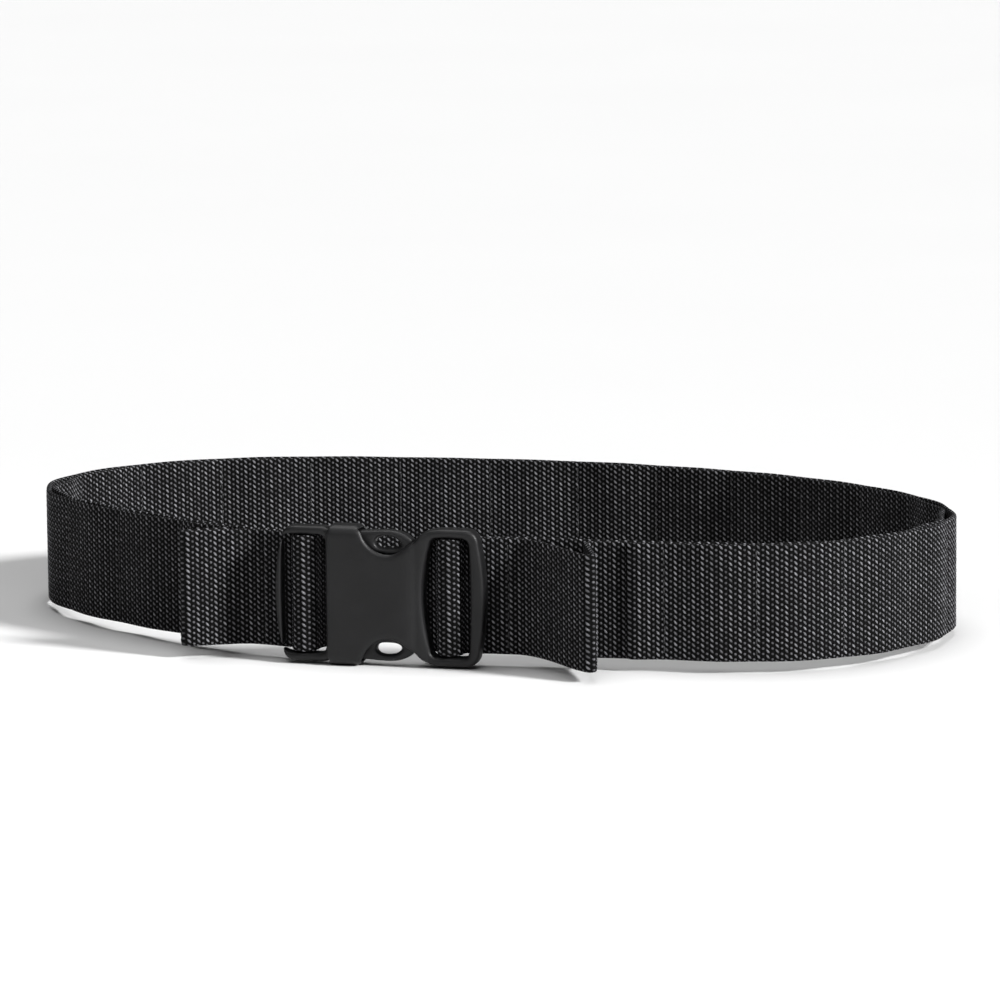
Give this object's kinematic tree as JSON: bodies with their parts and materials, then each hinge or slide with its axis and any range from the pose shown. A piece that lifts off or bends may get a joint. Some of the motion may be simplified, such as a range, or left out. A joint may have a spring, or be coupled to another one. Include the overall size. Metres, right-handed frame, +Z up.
{
  "type": "dive weight belt",
  "caption": "Closed loop of doubled, cross-stitched heavy webbing with a pleated slack pocket each side of a side-release buckle with squeeze arms.",
  "frame": {"origin": "centre of the footprint at floor level, under the middle of the closed loop", "axes": "+X along the long way of the loop, from the male half of the buckle towards the female half; +Y from the buckle to the back of the loop; +Z up"},
  "size_m": [0.416, 0.2758, 0.061],
  "materials": {
    "webbing": "heavy woven polyester, black",
    "thread": "bonded black thread",
    "buckle_plastic": "fine matte moulded texture, charcoal"
  },
  "bodies": {
    "right_half": {"female_body": "buckle_plastic", "right_bar_turn": "webbing", "right_webbing_lead": "webbing", "right_pocket": "webbing", "right_outer_webbing": "webbing", "right_inner_webbing": "webbing", "right_seam_01": "thread", "right_seam_02": "thread", "right_seam_03": "thread", "right_seam_04": "thread", "right_seam_05": "thread", "right_seam_06": "thread", "right_seam_07": "thread", "right_seam_08": "thread", "right_seam_09": "thread", "right_seam_10": "thread", "right_seam_11": "thread", "right_seam_12": "thread"},
    "left_half": {"male_frame": "buckle_plastic", "guide_tongue": "buckle_plastic", "left_bar_turn": "webbing", "left_webbing_lead": "webbing", "left_pocket": "webbing", "left_outer_webbing": "webbing", "left_inner_webbing": "webbing", "left_seam_01": "thread", "left_seam_02": "thread", "left_seam_03": "thread", "left_seam_04": "thread", "left_seam_05": "thread", "left_seam_06": "thread", "left_seam_07": "thread", "left_seam_08": "thread", "left_seam_09": "thread", "left_seam_10": "thread"},
    "upper_arm": {"upper_release_arm": "buckle_plastic"},
    "lower_arm": {"lower_release_arm": "buckle_plastic"}
  },
  "joints": [
    {"name": "belt_opening", "type": "hinge", "parent": "right_half", "child": "left_half", "pos_m": [-0.0182, 0.13714, 0.0305], "axis": [0, 0, -1], "range_deg": [0, 60]},
    {"name": "upper_arm_squeeze", "type": "hinge", "parent": "left_half", "child": "upper_arm", "pos_m": [-0.03345, -0.11453, 0.0545], "axis": [0, 1, 0], "range_deg": [0, 6], "stiffness_Nm_per_rad": 0.1},
    {"name": "lower_arm_squeeze", "type": "hinge", "parent": "left_half", "child": "lower_arm", "pos_m": [-0.03345, -0.11453, 0.0065], "axis": [0, -1, 0], "range_deg": [0, 6], "stiffness_Nm_per_rad": 0.1}
  ]
}
